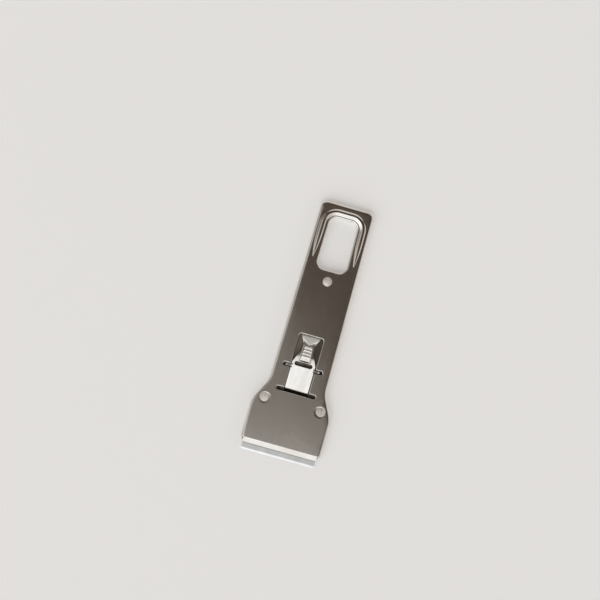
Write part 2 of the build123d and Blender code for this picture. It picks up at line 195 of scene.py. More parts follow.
class SlideSizes(bpy.types.PropertyGroup):
    """Sizes of the thumb slide."""

    sheet: length("Sheet", 0.5, "Thickness of the spring leaf")
    front_place: length("Front place", 21.8, "Front end of the leaf")
    crease_place: length("Crease place", 33.4, "Where the tongue starts to rise")
    tongue_top_place: length("Tongue top place", 52.0, "Where the tongue stops rising")
    root_level: length("Root level", 2.6, "Upper face of the leaf at its root")
    tongue_level: length("Tongue level", 3.63, "Upper face of the leaf behind the tongue")
    tail_dip: length("Tail dip", 0.23, "How far the leaf falls from the tongue's top to the tail's neck")
    tongue_width: length("Tongue width", 12.5, "Across the tongue")
    oblong_place: length("Oblong place", 47.45, "Place of the oblong slot")
    oblong_length: length("Oblong length", 9.7, "Across the oblong slot")
    oblong_width: length("Oblong width", 2.3, "Along the tool")
    shoulder_front: length("Shoulder front", 48.1, "Where the leaf starts to narrow")
    shoulder_rear: length("Shoulder rear", 54.6, "Where the leaf has narrowed")
    neck_width: length("Neck width", 6.6, "Across the leaf beside the button")
    tail_neck: length("Tail neck", 58.8, "Where the tail starts to widen")
    tail_flare: length("Tail flare", 62.8, "Where the tail has its full width")
    tail_width: length("Tail width", 10.0, "Across the tail")
    tail_end: length("Tail end", 67.0, "Rear end of the leaf")
    corner: length("Corner", 0.7, "Corner radius of the leaf")
    button_place: length("Button place", 48.8, "Front foot of the button")
    button_slope: length("Button slope", 2.4, "Length of the front slope")
    button_rear: length("Button rear", 58.1, "Rear end of the button")
    button_rear_lean: length("Button rear lean", 0.45, "How far the rear wall leans forward")
    button_rise: length("Button rise", 3.08, "From the leaf to the foot of the ridges")
    button_front_width: length("Button front width", 5.8, "Across the button's front")
    button_rear_width: length("Button rear width", 4.4, "Across the button's rear")
    button_draft: length("Button draft", 0.35, "How far the sides lean out")
    button_round: length("Button round", 0.8, "Round of the button's shoulders")
    button_foot: length("Button foot", 0.18, "Round at the button's foot")
    ridge_pitch: length("Ridge pitch", 1.65, "From ridge to ridge")
    ridge_width: length("Ridge width", 1.5, "Along the tool")
    ridge_height: length("Ridge height", 0.4, "Height of a ridge")
    ear_reach: length("Ear reach", 9.15, "From the middle to an ear's tip")
    ear_length: length("Ear length", 1.4, "Along the tool")
    ear_drop: length("Ear drop", 1.1, "How far an ear steps down below the tongue's level")
    ear_fold: length("Ear fold", 0.6, "Round of the fold where an ear leaves the tongue")
    ear_bend: length("Ear bend", 0.2, "Inner bend radius of an ear")
    ear_slit: length("Ear slit", 0.3, "Relief slit on each side of an ear")
    root_place: length("Root place", 24.0, "Place of the two root rivets")
    root_spread: length("Root spread", 6.4, "Between the two root rivets")
    root_hole: length("Root hole", 2.0, "Diameter of a root hole")
    edge_round: length("Edge round", 0.06, "Tumbled round of the cut edges")


class Finishes(bpy.types.PropertyGroup):
    """Colours of the metals and of the floor."""

    plating: colour("Plating", "#ECEAE6", "Bright nickel plating, a little warm")
    plating_haze: colour("Plating haze", "#E1DCD6", "Nickel plating where it is hazed")
    spring: colour("Spring steel", "#F4F3F0", "Polished and plated spring leaf")
    spring_haze: colour("Spring haze", "#EAE7E2", "The spring leaf where it is hazed")
    ground: colour("Ground steel", "#F1F3F3", "Ground blade steel")
    ground_haze: colour("Ground haze", "#E5E8E8", "Ground blade steel between the grinding lines")
    # Painted shadow: the dark line that the lip casts on the blade.
    lip_shadow_line: colour("Lip line", "#B4B2AC", "Dirt on the blade along the edge of the lip")
    zinc: colour("Zinc", "#F7F3EE", "Tumbled zinc plating")
    zinc_haze: colour("Zinc haze", "#DAD5CE", "Zinc plating in the hollows of the tumbling marks")
    # Painted shade: the carrier's strip, darkened for the shade inside the shell, with darker patches.
    strip: colour("Strip", "#78736D", "Oil-black strip of the carrier")
    strip_shade_haze: colour("Strip haze", "#5C5751", "The strip where its oil lies thick")
    # Painted shade: the black of the band where the leaf slips under the shell.
    painted_crease_shade: colour("Grease", "#2E2926", "Black grease on the leaf")
    # Painted shade: the inside of the shells, darkened for the shade within the closed tool, with darker
    # patches.
    inside_shade: colour("Oiled steel", "#958C82", "Inside of the shells, dark with drawing oil")
    inside_shade_haze: colour("Oiled haze", "#6A625A", "Inside of the shells where the oil lies thick")
    floor: colour("Floor", "#F7F7F6", "Floor of the studio")


class StudioSettings(bpy.types.PropertyGroup):
    """Camera and light."""

    lens: number("Lens", 85.0, "Focal length in millimetres")
    field: length("Field", 314.2, "Width that the picture takes in at the tool")
    aim_x: length("Aim across", -11.2, "Middle of the picture, across the tool")
    aim_y: length("Aim along", 14.9, "Middle of the picture, along the tool")
    tilt_left: angle("Tilt left", 2.0, "How far the camera leans to the tool's left")
    tilt_up: angle("Tilt up", 2.0, "How far the camera leans to the handle")
    roll: angle("Roll", 15.86, "How far the tool is turned clockwise in the picture")
    tent: number("Tent", 1.06, "Radiance of the tent's white front wall")
    side_wall: colour("Side walls", "#D2CCC6", "The tent's other walls")
    room_near: colour("Room, near", "#7D7770", "The dark room over the tent, towards the blade")
    room_far: colour("Room, far", "#483E36", "The dark room over the tent, towards the handle")
    front_edge: angle("Front edge", 8.8, "From straight up to the white front wall")
    rear_edge: angle("Rear edge", 32.0, "From straight up to the rear wall")
    left_edge: angle("Left edge", 55.0, "From straight up to the left wall")
    right_edge: angle("Right edge", 38.0, "From straight up to the right wall")
    front_soft: number("Front softness", 0.02, "Width of the front wall's soft edge, as a sine")
    side_soft: number("Side softness", 0.2, "Width of the side walls' soft edges, as a sine")
    lamp: number("Lamp", 6.0, "Power of the soft lamp in watts")
    lamp_size: length("Lamp size", 2400.0, "Side of the soft lamp")
    floor_lift: number("Floor lift", 0.2, "Radiance added to the floor where it is seen")
    floor_radius: length("Floor radius", 3000.0, "Radius of the round floor")


class ScraperSettings(bpy.types.PropertyGroup):
    """All sizes and finishes of the scraper, and its studio."""

    shell: bpy.props.PointerProperty(type=ShellSizes)
    window: bpy.props.PointerProperty(type=WindowSizes)
    hole: bpy.props.PointerProperty(type=HoleSizes)
    rivets: bpy.props.PointerProperty(type=RivetSizes)
    slide: bpy.props.PointerProperty(type=SlideSizes)
    finishes: bpy.props.PointerProperty(type=Finishes)
    studio: bpy.props.PointerProperty(type=StudioSettings)


def chosen():
    """The settings that the scene holds."""
    return bpy.context.scene.scraper


def along(place):
    """Y of a place."""
    return shell_high.y - chosen().shell.shell_length + place


# Outlines


def unit(vectors):
    """Vectors scaled to a length of one, along the last axis. A zero vector stays zero."""
    return vectors / np.maximum(np.linalg.norm(vectors, axis=-1, keepdims=True), tiny)


def heading(angles):
    """Unit vectors at these angles from +X, anticlockwise."""
    return np.stack([np.cos(angles), np.sin(angles)], axis=-1)


def arc(turns):
    """Run and drop of an arc of radius one that starts level: the turn's sine, and one less its cosine."""
    return np.stack([np.sin(turns), 1 - np.cos(turns)], axis=-1)


def rounded(corners, radii, steps=9):
    """Counter-clockwise outline with an arc at each corner, and its outward normals.

    The arc's centre lies on the corner's bisector, at the radius divided by the sine of half the
    angle between the sides. The normal turns evenly from one side's normal to the next one's, and
    a point is the centre plus the radius times the normal, or minus it where the outline turns in.
    """
    corners = np.array(corners, float)
    radii = np.array(radii, float)[:, None]
    before = unit(np.roll(corners, 1, 0) - corners)
    after = unit(np.roll(corners, -1, 0) - corners)
    half = np.arccos(np.clip((before * after).sum(1), -1, 1))[:, None] / 2
    side = np.sign(before[:, 1] * after[:, 0] - before[:, 0] * after[:, 1])[:, None]
    centres = corners + unit(before + after) * radii / np.maximum(np.sin(half), tiny)
    first = np.arctan2(before[:, 0], -before[:, 1])[:, None]
    normals = heading(first + side * (pi - 2 * half) * np.linspace(0, 1, steps))
    points = centres[:, None] + (side * radii)[:, None] * normals
    return points.reshape(-1, 2), normals.reshape(-1, 2)


def mirrored(right_side, radii, steps=9):
    """Closed outline, and its normals, from its right half, front to rear."""
    left_side = [(-x, y) for x, y in reversed(right_side)]
    return rounded([*right_side, *left_side], [*radii, *reversed(radii)], steps)


def arch_line(right_side, radii, steps):
    """The same outline and normals without their front side, which joins two sharp corners."""
    return [line[steps - 1 : 1 - steps] for line in mirrored(right_side, radii, steps)]


def circle(centre, radius, steps=40):
    """A circle of points, and its normals."""
    normals = heading(np.arange(steps) * 2 * pi / steps)
    return np.array(centre) + radius * normals, normals


def spaced(points, step, closed=True):
    """A line with more points evenly added to its long sides, so that none is longer than a step."""
    following = np.roll(points, -1, 0)
    if not closed:
        following[-1] = points[-1]
    counts = np.ceil(np.linalg.norm(following - points, axis=1) / step).clip(1).astype(int)
    index = np.repeat(np.arange(len(points)), counts)
    share = (np.arange(counts.sum()) - (np.cumsum(counts) - counts)[index]) / counts[index]
    return points[index] + share[:, None] * (following - points)[index]


def resampled(line, run, stops):
    """A line's values at new stops along its run."""
    return np.column_stack([np.interp(stops, run, column) for column in line.T])


def distinct(loop):
    """A closed line without the points that repeat the one before them."""
    return loop[np.linalg.norm(loop - np.roll(loop, 1, 0), axis=1) > touching]


def inset(loop, distance):
    """An anticlockwise loop moved in by a distance, each point along the mean of its sides' normals."""
    side = unit(np.roll(loop, -1, 0) - loop)
    normal = np.column_stack([side[:, 1], -side[:, 0]])
    mean = unit(normal + np.roll(normal, 1, 0))
    return loop - mean * distance / (mean * normal).sum(1, keepdims=True)


def inside(points, loop):
    """Which points lie in a closed loop: those whose ray to +X crosses it an odd number of times."""
    x, y = points[:, 0, None], points[:, 1, None]
    x0, y0 = loop.T
    x1, y1 = np.roll(loop, -1, 0).T
    spans = (y0 > y) != (y1 > y)
    crossing = x0 + (y - y0) * (x1 - x0) / np.where(y1 == y0, 1, y1 - y0)
    return (spans & (x < crossing)).sum(1) % 2 == 1


# Surfaces: each is a pair of points (n, 3) and faces (m, 3 or 4)


def surface(grid, closed=False):
    """A grid of points (rows, columns, 3) as a surface of quads.

    Its faces point up where the rows go outward and the columns anticlockwise.
    """
    rows, columns = grid.shape[:2]
    row, column = np.meshgrid(np.arange(rows - 1), np.arange(columns - (not closed)), indexing="ij")
    following = (column + 1) % columns
    corners = [row * columns + column, (row + 1) * columns + column]
    corners += [(row + 1) * columns + following, row * columns + following]
    return grid.reshape(-1, 3), np.stack(corners, axis=-1).reshape(-1, 4)


def woven(x, y, z):
    """A grid of points from rows, columns or whole grids of their coordinates."""
    return np.stack(np.broadcast_arrays(x, y, z), axis=-1)


def carried(outline, normals, profile):
    """Grid of a profile carried along an outline.

    A point is the outline's point plus its normal times the profile's first value, and the
    profile's second value is its level.
    """
    profile = np.array(profile, float)
    plan = outline[None] + normals[None] * profile[:, None, :1]
    levels = np.broadcast_to(profile[:, None, 1:], (*plan.shape[:2], 1))
    return np.concatenate([plan, levels], axis=-1)


def filled(outer, holes, height, lines=()):
    """The face between an outer loop and its holes, each point lifted to height(points).

    A constrained Delaunay triangulation joins the loops' own points and those of the open lines.
    A triangle stays where its middle is in the outer loop and in no hole. Lines that cross or touch
    raise an error, because they would leave a slit.
    """
    loops = [distinct(loop) for loop in (outer, *holes)]
    chains = [*loops, *[np.array(line) for line in lines]]
    starts = np.cumsum([0] + [len(chain) for chain in chains])
    edges = []
    for index, (chain, start) in enumerate(zip(chains, starts)):
        first = np.arange(len(chain) - (index >= len(loops)))
        edges.append(np.column_stack([first, (first + 1) % len(chain)]) + start)
    flat = [Vector(point) for point in np.concatenate(chains) / MM]
    edges = np.concatenate(edges).tolist()
    points, _, triangles, *_ = delaunay_2d_cdt(flat, edges, [], 0, touching / MM)
    if len(points) != len(flat):
        raise ValueError("Two outlines of a face cross or touch")
    points = np.array(points) * MM
    triangles = np.array(triangles)
    middles = points[triangles].mean(1)
    keep = inside(middles, loops[0])
    for hole in loops[1:]:
        keep &= ~inside(middles, hole)
    triangles = triangles[keep]
    first, second, third = (points[triangles[:, corner]] for corner in range(3))
    side, other = second - first, third - first
    turned = side[:, 0] * other[:, 1] < side[:, 1] * other[:, 0]
    triangles[turned] = triangles[turned][:, ::-1]
    return np.column_stack([points, height(points)]), triangles


def revolved(profile, centre, steps=48):
    """A profile of radii and levels, up its outside, turned about a vertical axis."""
    around, directions = circle(centre, 0, steps)
    return flipped(surface(carried(around, directions, profile), closed=True))


def flipped(part):
    """The same surface, facing the other way."""
    return part[0], part[1][:, ::-1]


def add_piece(name, parts, body, materials, stands_for, sheet=0, edge_round=0, even=True):
    """One object from surfaces that meet point on point, welded, with a wall and round cut edges.

    It rides on a body and stands for the solids that it names. A second material goes on the inner
    side of the wall. An even wall keeps its thickness round a bend.
    """
    mesh = bpy.data.meshes.new(name)
    starts = np.cumsum([0] + [len(points) for points, _ in parts])
    faces = [face for (_, part), start in zip(parts, starts) for face in (part + start).tolist()]
    mesh.from_pydata(np.concatenate([points for points, _ in parts]), [], faces)
    work = bmesh.new()
    work.from_mesh(mesh)
    bmesh.ops.remove_doubles(work, verts=work.verts, dist=weld_gap)
    bmesh.ops.dissolve_degenerate(work, edges=work.edges, dist=weld_gap / 2)
    loose = [vertex for vertex in work.verts if not vertex.link_faces]
    bmesh.ops.delete(work, geom=loose, context="VERTS")
    cut = work.edges.layers.float.new("bevel_weight_edge")
    for line in work.edges:
        line[cut] = float(line.is_boundary)
    work.to_mesh(mesh)
    work.free()
    mesh.shade_smooth()
    for material in materials:
        mesh.materials.append(material)
    piece = bpy.data.objects.new(name, mesh)
    bpy.context.scene.collection.objects.link(piece)
    if sheet:
        wall = piece.modifiers.new("Sheet", "SOLIDIFY")
        wall.thickness = sheet
        wall.offset = -1
        wall.use_even_offset = even
        wall.material_offset = len(materials) - 1
    if edge_round:
        bevel = piece.modifiers.new("Edge round", "BEVEL")
        bevel.width = edge_round
        bevel.segments = 3
        bevel.limit_method = "WEIGHT"
        bevel.use_clamp_overlap = False
    piece.modifiers.new("Flat faces stay flat", "WEIGHTED_NORMAL")
    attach(piece, body)
    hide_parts(*stands_for)
    return piece


# Finishes


def add(tree, kind, settings=None, links=None):
    """Adds a node. Settings are its own or its inputs' values, and links feed its inputs.

    A link comes from a socket, or from a node's first output.
    """
    node = tree.nodes.new("ShaderNode" + kind)
    for key, value in (settings or {}).items():
        if isinstance(key, int) or key in node.inputs:
            node.inputs[key].default_value = value
        else:
            setattr(node, key, value)
    for key, source in (links or {}).items():
        tree.links.new(getattr(source, "outputs", [source])[0], node.inputs[key])
    return node


def metal(name, clean, haze, patch, roughness, grain, stretch, grain_depth, wave, wave_depth):
    """A metal with hazed patches, uneven gloss, a fine grain and a slow wave in its skin.

    Lengths are in millimetres. The colour goes from clean to haze over patches of one size. The
    roughness follows the same patches and a finer speckle. The height is a grain, drawn out along
    each axis where its stretch is under one, plus a wave, each a noise times its depth. The lines
    of grinding, rolling and polishing are some 0.02 to 0.05 mm apart on the real metal, too fine to
    show, so they are drawn at 0.16 to 0.4 mm.
    """
    material = bpy.data.materials.new(name)
    material.use_nodes = True
    tree = material.node_tree
    shader = tree.nodes["Principled BSDF"]
    shader.inputs["Metallic"].default_value = 1.0
    place = add(tree, "TexCoord").outputs["Object"]
    along_tool = add(tree, "Mapping", {"Scale": (1, 0.4, 1)}, {"Vector": place})
    cloud = {"Scale": 1 / (patch * MM), "Detail": 2.0, "Roughness": 0.5}
    patches = add(tree, "TexNoise", cloud, {"Vector": along_tool})
    hazed = add(tree, "MapRange", {"From Min": 0.34, "From Max": 0.68}, {"Value": patches})
    ends = {"data_type": "RGBA", 6: (*clean, 1), 7: (*haze, 1)}
    tint = add(tree, "Mix", ends, {0: hazed})
    tree.links.new(tint.outputs[2], shader.inputs["Base Color"])
    dots = {"Scale": 9 / (patch * MM), "Detail": 4.0}
    speckle = add(tree, "TexNoise", dots, {"Vector": place})
    uneven = add(tree, "Math", {"operation": "MULTIPLY"}, {0: patches, 1: speckle})
    span = {"From Min": 0.1, "From Max": 0.42, "To Min": roughness[0], "To Max": roughness[1]}
    gloss = add(tree, "MapRange", span, {"Value": uneven})
    tree.links.new(gloss.outputs[0], shader.inputs["Roughness"])
    drawn = add(tree, "Mapping", {"Scale": stretch}, {"Vector": place})
    lines = {"Scale": 1 / (grain * MM), "Detail": 3.0, "Roughness": 0.6}
    fine = add(tree, "TexNoise", lines, {"Vector": drawn})
    slow = add(tree, "TexNoise", {"Scale": 1 / (wave * MM), "Detail": 1.0}, {"Vector": place})
    skin = add(tree, "Bump", {"Distance": wave_depth * MM}, {"Height": slow})
    scored = add(tree, "Bump", {"Distance": grain_depth * MM}, {"Height": fine, "Normal": skin})
    tree.links.new(scored.outputs[0], shader.inputs["Normal"])
    return material


def place_along(tree):
    """A socket that gives the Y of each shaded point."""
    place = add(tree, "TexCoord").outputs["Object"]
    return add(tree, "SeparateXYZ", None, {"Vector": place}).outputs["Y"]


def paint_shade(material, shade_colour, clear):
    """Paints shade of a colour over a metal wherever clear is under one."""
    tree = material.node_tree
    base = tree.nodes["Principled BSDF"].inputs["Base Color"]
    cover = {"data_type": "RGBA", 6: (*shade_colour, 1)}
    shade_painted = add(tree, "Mix", cover, {0: clear, 7: base.links[0].from_socket})
    tree.links.new(shade_painted.outputs[2], base)


def nickel_plated_pressing():
    """Bright nickel on pressed steel: a clear, warm mirror that the pressing has left a little wavy."""
    c = chosen().finishes
    return metal(
        "Bright nickel-plated pressed steel", c.plating, c.plating_haze, patch=9, roughness=(0.1, 0.145),
        grain=0.35, stretch=(1, 0.25, 1), grain_depth=0.001, wave=24, wave_depth=0.05,
    )


def nickel_plated_back():
    """The same plating over rolled sheet: duller, with the mill's fine lines along the tool."""
    c = chosen().finishes
    return metal(
        "Nickel-plated rolled steel", c.plating, c.plating_haze, patch=12, roughness=(0.22, 0.34),
        grain=0.22, stretch=(1, 0.03, 1), grain_depth=0.004, wave=22, wave_depth=0.1,
    )


def polished_spring():
    """Polished spring strip: the brightest metal, with hair lines along it.

    A black band of painted shade lies across it where it slips under the shell's edge. It fades
    towards the root and ends sharp at the crease.
    """
    c = chosen().finishes
    material = metal(
        "Polished spring steel", c.spring, c.spring_haze, patch=4, roughness=(0.08, 0.12),
        grain=0.18, stretch=(1, 0.08, 1), grain_depth=0.0004, wave=9, wave_depth=0.003,
    )
    tree = material.node_tree
    place = place_along(tree)
    crease = along(chosen().slide.crease_place)
    root_end = {"From Min": crease - 1.9 * MM, "From Max": crease - 3.4 * MM}
    crease_end = {"From Min": crease - 0.35 * MM, "From Max": crease - 0.05 * MM}
    ends = [add(tree, "MapRange", end, {"Value": place}) for end in (root_end, crease_end)]
    # Painted shade: a black band across the leaf where it slips under the shell.
    paint_shade(material, c.painted_crease_shade, add(tree, "Math", {"operation": "MAXIMUM"}, {0: ends[0], 1: ends[1]}))
    return material


def tumbled_rivet():
    """Zinc-plated rivets tumbled in a barrel: pale, dull and dented all over."""
    c = chosen().finishes
    return metal(
        "Tumbled zinc-plated steel", c.zinc, c.zinc_haze, patch=1.4, roughness=(0.6, 0.8),
        grain=0.3, stretch=(1, 1, 1), grain_depth=0.02, wave=1.6, wave_depth=0.1,
    )


def shaded_rolled_strip():
    """Cold-rolled strip, darkened as painted shade of the shell's inside: dark steel with fine lines
    across the tool.
    """
    c = chosen().finishes
    return metal(
        "Cold-rolled strip darkened as painted shade", c.strip, c.strip_shade_haze, patch=6, roughness=(0.3, 0.45),
        grain=0.2, stretch=(0.05, 1, 1), grain_depth=0.005, wave=12, wave_depth=0.03,
    )


def shaded_inside():
    """Bare inside of the pressings: dull steel, darkened as painted shade of the closed shell, and uneven.
    """
    c = chosen().finishes
    return metal(
        "Steel darkened as painted shade", c.inside_shade, c.inside_shade_haze, patch=7, roughness=(0.4, 0.6),
        grain=0.4, stretch=(1, 0.3, 1), grain_depth=0.004, wave=14, wave_depth=0.04,
    )


def ground_blade():
    """Ground stainless blade: satin from lines along its edge, smoother and brighter on the bevel.

    A faint dark line, painted shadow of the lip, shows how far the lip covers it.
    """
    c = chosen().finishes
    material = metal(
        "Ground stainless steel", c.ground, c.ground_haze, patch=5, roughness=(0.52, 0.6),
        grain=0.16, stretch=(0.04, 1, 1), grain_depth=0.004, wave=10, wave_depth=0.004,
    )
    tree = material.node_tree
    place = place_along(tree)
    gloss = tree.nodes["Principled BSDF"].inputs["Roughness"]
    bevel, bevel_roughness, soft = 1.0 * MM, 0.28, 0.05 * MM
    bevel_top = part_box("blade")[0].y + bevel
    edge = {"From Min": bevel_top - soft, "From Max": bevel_top + soft}
    land = add(tree, "MapRange", edge, {"Value": place})
    smooth = {"data_type": "FLOAT", 2: bevel_roughness}
    level = add(tree, "Mix", smooth, {0: land, 3: gloss.links[0].from_socket})
    tree.links.new(level.outputs[0], gloss)
    # Painted shadow of the lip: a faint dark line on the blade just in front of the lip's edge.
    lip_shadow_line = {"operation": "SUBTRACT", 1: along(0) - 0.3 * MM}
    from_line = add(tree, "Math", lip_shadow_line, {0: place})
    away = add(tree, "Math", {"operation": "ABSOLUTE"}, {0: from_line})
    fade = {"From Min": 0.08 * MM, "From Max": 0.4 * MM}
    paint_shade(material, c.lip_shadow_line, add(tree, "MapRange", fade, {"Value": away}))
    return material


# The two shells


# Flat rings of this width lie round the openings, so that the face shades evenly beside them.
border = 0.1 * MM


def shell_path(front_place):
    """The shell's outline, open at the front: from its right corner round the handle to its left one."""
    s = chosen().shell
    right_side = [
        (s.head_width / 2, along(front_place)),
        (s.head_width / 2, along(s.shoulder_place)),
        (s.neck_width / 2, along(s.neck_place)),
        (s.end_width / 2, shell_high.y),
    ]
    return arch_line(right_side, [0, s.shoulder_radius, s.shoulder_radius, s.end_corner], steps=13)


def window_outline():
    """The guide window, a channel and its two cross slots, and its normals."""
    w = chosen().window
    channel, slot, reach = w.channel_width / 2, w.slot_length / 2, w.slot_width / 2
    lower, upper = along(w.lower_slot), along(w.upper_slot)
    right_side = [
        (slot, lower - reach),
        (slot, lower + reach),
        (channel, lower + reach),
        (channel, upper - reach),
        (slot, upper - reach),
        (slot, upper + reach),
        (channel, upper + reach),
        (channel, along(w.channel_top)),
    ]
    tip, nook = w.slot_corner, w.nook
    return mirrored(right_side, [tip, tip, nook, nook, tip, tip, nook, w.channel_corner])


def hole_outline():
    """The hanging hole, a little narrower at the top, and its normals."""
    h = chosen().hole
    right_side = [
        (h.bottom_width / 2, along(h.hole_place)),
        (h.top_width / 2, along(h.hole_place + h.hole_length)),
    ]
    return mirrored(right_side, [h.corner, h.corner], steps=13)


def rivet_points():
    """Middles of the handle rivet and of the left and right head rivets."""
    r = chosen().rivets
    across, y = r.head_spread / 2, along(r.head_place)
    return [(0, along(r.handle_place)), (-across, y), (across, y)]


def rolled_rim():
    """Profile of the rolled edge: distances out from the outline and levels, from the face down.

    It is an arc down to upright, which starts where the relief slit leaves it, and the skirt.
    """
    s = chosen().shell
    reach = (s.head_width - s.lip_width) / 2
    start = asin(1 - (reach - s.relief_width) / s.roll)
    turns = np.concatenate([[start], np.radians(np.linspace(25, 90, 8))])
    roll = (-s.roll, s.face_level) + s.roll * arc(turns) * (1, -1)
    middle = (s.face_level - s.roll + s.skirt_level) / 2
    return np.concatenate([[(-reach, s.face_level)], roll, [(0, middle), (0, s.skirt_level)]])


def lip_grid():
    """The lip: rows from the face over the bend to the front edge, columns across.

    In the bend, y is the bend's centre minus the radius times the sine of the turn, and the level
    falls by the radius times one less the cosine. In front of it the level falls by the tangent.
    """
    s = chosen().shell
    centre = along(s.lip_length) + s.lip_bend_radius * tan(s.lip_bend / 2)
    bend = (centre, s.face_level) - s.lip_bend_radius * arc(np.linspace(0, s.lip_bend, 8))
    last_row = 0.4 * MM
    places = np.array([s.lip_length / 2, last_row, 0])
    front = np.column_stack([along(places), s.face_level - (s.lip_length - places) * tan(s.lip_bend)])
    rear = (along(s.lip_length + s.relief_depth), s.face_level)
    rows = np.concatenate([[rear], bend, front])
    column_shares = np.array([-1, -0.98, -0.5, 0, 0.5, 0.98, 1])
    return woven(s.lip_width / 2 * column_shares, rows[:, :1], rows[:, 1:])


def bead_parts():
    """The bead's surfaces and the loop that it leaves in the face.

    Its section is a crown arc that runs into a foot arc on each side. It is carried up one side of
    the hole, over its top and down the other side, and turned through half a turn at both tips. Its
    size falls to a share of the full one along a parabola towards each tip.
    """
    s, h = chosen().shell, chosen().hole
    tip = (h.bottom_width / 2 + h.bead_offset, along(h.hole_place + h.bead_setback))
    corner = (h.top_width / 2 + h.bead_offset, along(h.hole_place + h.hole_length) + h.bead_offset)
    steps = 17
    path, normals = arch_line([tip, corner], [0, h.corner + h.bead_offset], steps)
    turn = np.arccos(1 - h.bead_height / (h.bead_crown + h.bead_foot))
    half_width = (h.bead_crown + h.bead_foot) * sin(turn)
    up = np.linspace(0, turn, 6)
    crown = (0, h.bead_height) + h.bead_crown * arc(up) * (1, -1)
    foot = (half_width, 0) + h.bead_foot * arc(up[-2::-1]) * (-1, 1)
    support = 0.8 * border
    half = np.concatenate([crown, foot, [(half_width + support, 0)]])
    across = np.concatenate([half[:0:-1] * (-1, 1), half])
    run = np.concatenate([[0], np.linalg.norm(np.diff(path, axis=0), axis=1).cumsum()])
    fades = h.bead_run_out * np.linspace(0, 1, 29)
    stops = np.unique(np.concatenate([run, fades, run[-1] - fades]).round(7))
    path, normals = resampled(path, run, stops), resampled(normals, run, stops)
    inward = (np.minimum(stops, stops[-1] - stops) / h.bead_run_out).clip(0, 1)
    size = (1 - h.bead_tip_shrink * (1 - inward) ** 2)[:, None]
    strip = carried(path, normals * size, across)
    strip[..., 2:] = s.face_level + strip[..., 2:] * size
    caps = []
    for end, start in ((0, -pi), (-1, 0)):
        first = np.arctan2(normals[end, 1], normals[end, 0]) + start
        spokes = heading(first + np.linspace(0, pi, steps))
        cap = carried(np.repeat(path[end][None], steps, 0), spokes * size[end], half)
        cap[..., 2:] = s.face_level + cap[..., 2:] * size[end]
        caps.append(cap)
    loop = np.concatenate([strip[-1], caps[1][-1], strip[0][::-1], caps[0][-1]])[:, :2]
    return [surface(strip), surface(caps[0]), surface(caps[1])], loop


def punched_edge(low, foot, radius):
    """Profile of an opening's edge: a wall from its low end, a quarter round and a flat ring of face.

    The wall has a row a foot's height up, which keeps the bevel of the cut edge off the round.
    """
    level = chosen().shell.face_level
    quarter = (1, 0) - arc(np.linspace(pi / 2, 0, 8))
    wall = [(0, low), (0, low + foot)]
    return np.concatenate([wall, (0, level) + radius * quarter, [(radius + border, level)]])


def seat_ring(point, shank):
    """The dished seat round a head rivet, from the shank's hole out.

    It is flat beside the head and rises to the face in three slopes. Its outer circle is moved away
    from the rim, and each row inside it by its share of the seat's width.
    """
    s = chosen().shell
    width = s.seat_radius - shank
    inward = np.array([width, 0.7 * MM, 0.4 * MM, 0.15 * MM, 0, -border])
    risen_shares = np.array([0, 0, 0.2, 0.8, 1, 1])
    profile = np.column_stack([width - inward, s.face_level - s.seat_depth * (1 - risen_shares)])
    ring = carried(*circle(point, shank), profile)
    from_rim = unit(np.array([-np.sign(point[0]), -0.6]))
    ring[..., :2] += (profile[:, None, :1] / width).clip(0, 1) * s.seat_shift * from_rim
    return ring


class SCRAPER_OT_front_shell(bpy.types.Operator):
    """Front shell: one pressed sheet with rolled edges, a lip, a guide window and a beaded hole"""

    bl_idname = "scraper.front_shell"
    bl_label = "Front shell"

    def execute(self, context):
        settings = context.scene.scraper
        s, h, r = settings.shell, settings.hole, settings.rivets
        rim = rolled_rim()
        slit_end = s.lip_length + s.relief_depth
        edge = carried(*shell_path(slit_end), rim)
        side = np.array([(s.head_width / 2, along(place)) for place in (s.flange_place, slit_end)])
        right_flange = carried(side, np.array([(1, 0)] * 2), rim[1:])
        left_flange = (right_flange * (-1, 1, 1))[:, ::-1]
        lip = lip_grid()
        parts = [surface(grid) for grid in (edge, right_flange, left_flange, lip)]
        margin = 0.3 * MM
        cut = punched_edge(s.face_level - s.sheet, margin / 2, settings.window.die_roll)
        drawn = punched_edge(h.collar_level, margin, h.drawn_edge)
        shank = r.shank / 2 + r.hole_gap
        handle, *heads = rivet_points()
        rings = [
            carried(*window_outline(), cut),
            carried(*hole_outline(), drawn),
            carried(*circle(handle, shank), [(0, s.face_level), (margin, s.face_level)]),
            *[seat_ring(point, shank) for point in heads],
        ]
        parts += [surface(ring, closed=True) for ring in rings]
        bead, bead_loop = bead_parts()
        outer = np.concatenate([edge[0], lip[0]])[:, :2]
        holes = [*[ring[-1][:, :2] for ring in rings], bead_loop]
        parts += [*bead, filled(outer, holes, lambda points: np.full(len(points), s.face_level))]
        add_piece(
            "front_shell_pressing", parts, "shell",
            [nickel_plated_pressing(), shaded_inside()], ["front_shell"], s.sheet, s.edge_round,
        )
        return {"FINISHED"}


